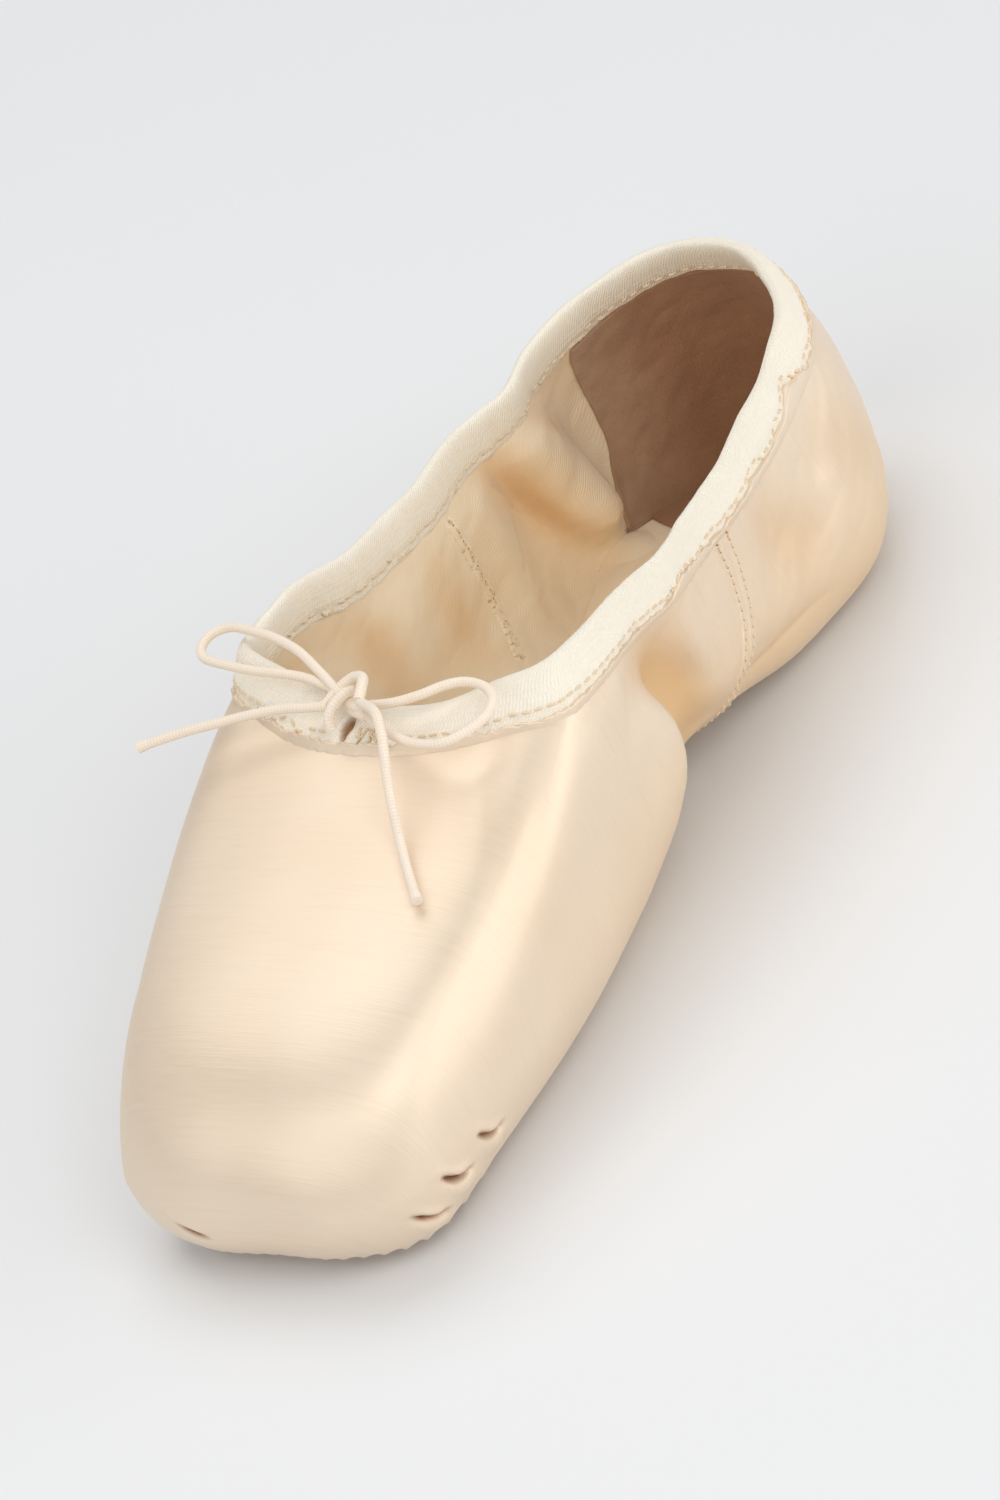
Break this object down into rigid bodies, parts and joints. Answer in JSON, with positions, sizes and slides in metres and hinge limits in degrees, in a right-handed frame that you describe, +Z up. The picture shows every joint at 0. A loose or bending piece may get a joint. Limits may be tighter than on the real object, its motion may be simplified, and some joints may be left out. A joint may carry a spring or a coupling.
{
  "type": "pointe shoe",
  "caption": "Empty satin pointe shoe with a flat-tipped stiff box, a split leather sole, a bound open collar and a drawstring tied in a small bow.",
  "frame": {"origin": "on the floor, under the middle of the shoe's length and width", "axes": "+X towards the toe, +Y towards the shoe's left as the wearer looks, +Z up"},
  "size_m": [0.23, 0.0786, 0.0651],
  "materials": {
    "satin": "glossy satin over canvas and hardened paste",
    "sock": "napped suede",
    "sole_leather": "smooth sole leather with shallow wavy grooves",
    "tape": "cotton twill tape",
    "cord": "round elastic cord"
  },
  "bodies": {
    "root": {"upper": "satin", "insole": "sock", "outsole_forefoot": "sole_leather", "outsole_heel": "sole_leather", "binding": "tape", "bow_knot": "cord", "bow_loop_left": "cord", "bow_loop_right": "cord", "bow_end_left": "cord", "bow_end_down": "cord"}
  },
  "joints": []
}
